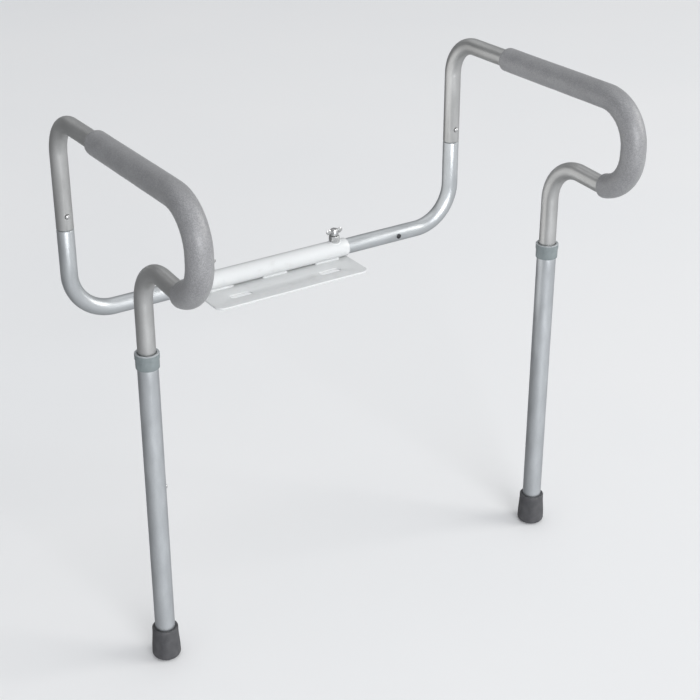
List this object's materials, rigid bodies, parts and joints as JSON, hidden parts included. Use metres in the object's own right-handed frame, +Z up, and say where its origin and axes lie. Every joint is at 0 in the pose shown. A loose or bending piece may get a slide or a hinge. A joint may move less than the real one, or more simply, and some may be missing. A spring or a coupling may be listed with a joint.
{
  "type": "toilet safety frame",
  "caption": "Two padded armrests on bent tubes that slide in a bracket bolted under a toilet seat, each with a height-adjustable leg and a rubber foot.",
  "frame": {"origin": "midway between the two seat-bolt slots, on the underside of the bracket plate, where it rests on the toilet bowl", "axes": "+Z up, -Y towards the front, where the seated person's legs are, +X to the right of someone facing the frame"},
  "size_m": [0.6282, 0.3942, 0.6742],
  "materials": {
    "satin_aluminium": "satin anodised",
    "bright_aluminium": "bright anodised",
    "white_paint": "white powder coat on steel",
    "foam": "matte closed-cell foam",
    "collar_plastic": "matte moulded plastic",
    "tip_rubber": "matte rubber",
    "plated_steel": "zinc plated",
    "dark_steel": "black oxide"
  },
  "bodies": {
    "bracket": {"bracket_plate": "white_paint", "bracket_tube": "white_paint", "left_clamp_nut": "plated_steel", "right_clamp_nut": "plated_steel"},
    "left_arm_assembly": {"left_rear_tube": "bright_aluminium", "left_stop_rivet": "dark_steel", "left_arm_tube": "satin_aluminium", "left_foam_grip": "foam", "left_rear_spring": "plated_steel", "left_leg_spring": "plated_steel"},
    "left_leg": {"left_leg_tube": "satin_aluminium", "left_leg_collar": "collar_plastic", "left_foot_tip": "tip_rubber", "left_tip_washer": "plated_steel"},
    "left_rear_button_body": {"left_rear_button": "plated_steel"},
    "left_leg_button_body": {"left_leg_button": "plated_steel"},
    "left_clamp_screw_body": {"left_clamp_screw": "plated_steel"},
    "right_arm_assembly": {"right_rear_tube": "bright_aluminium", "right_stop_rivet": "dark_steel", "right_arm_tube": "satin_aluminium", "right_foam_grip": "foam", "right_rear_spring": "plated_steel", "right_leg_spring": "plated_steel"},
    "right_leg": {"right_leg_tube": "satin_aluminium", "right_leg_collar": "collar_plastic", "right_foot_tip": "tip_rubber", "right_tip_washer": "plated_steel"},
    "right_rear_button_body": {"right_rear_button": "plated_steel"},
    "right_leg_button_body": {"right_leg_button": "plated_steel"},
    "right_clamp_screw_body": {"right_clamp_screw": "plated_steel"}
  },
  "joints": [
    {"name": "left_width_slide", "type": "slide", "parent": "bracket", "child": "left_arm_assembly", "axis": [-1, 0, 0], "range_m": [-0.078, 0]},
    {"name": "left_height_slide", "type": "slide", "parent": "left_arm_assembly", "child": "left_leg", "axis": [0, 0, -1], "range_m": [0, 0.1524]},
    {"name": "left_rear_button_press", "type": "slide", "parent": "left_arm_assembly", "child": "left_rear_button_body", "axis": [0, 1, 0], "range_m": [0, 0.004], "stiffness_N_per_m": 1500, "springref_m": -0.002, "deforming": ["left_rear_spring"]},
    {"name": "left_leg_button_press", "type": "slide", "parent": "left_arm_assembly", "child": "left_leg_button_body", "axis": [-1, 0, 0], "range_m": [0, 0.0042], "stiffness_N_per_m": 1500, "springref_m": -0.002, "deforming": ["left_leg_spring"]},
    {"name": "left_clamp_screw_turn", "type": "hinge", "parent": "bracket", "child": "left_clamp_screw_body", "pos_m": [-0.1, 0.036, 0.038], "axis": [0, 0, 1], "continuous": true},
    {"name": "right_width_slide", "type": "slide", "parent": "bracket", "child": "right_arm_assembly", "axis": [1, 0, 0], "range_m": [-0.078, 0]},
    {"name": "right_height_slide", "type": "slide", "parent": "right_arm_assembly", "child": "right_leg", "axis": [0, 0, -1], "range_m": [0, 0.1524]},
    {"name": "right_rear_button_press", "type": "slide", "parent": "right_arm_assembly", "child": "right_rear_button_body", "axis": [0, 1, 0], "range_m": [0, 0.004], "stiffness_N_per_m": 1500, "springref_m": -0.002, "deforming": ["right_rear_spring"]},
    {"name": "right_leg_button_press", "type": "slide", "parent": "right_arm_assembly", "child": "right_leg_button_body", "axis": [-1, 0, 0], "range_m": [0, 0.0042], "stiffness_N_per_m": 1500, "springref_m": -0.002, "deforming": ["right_leg_spring"]},
    {"name": "right_clamp_screw_turn", "type": "hinge", "parent": "bracket", "child": "right_clamp_screw_body", "pos_m": [0.1, 0.036, 0.038], "axis": [0, 0, 1], "continuous": true}
  ]
}
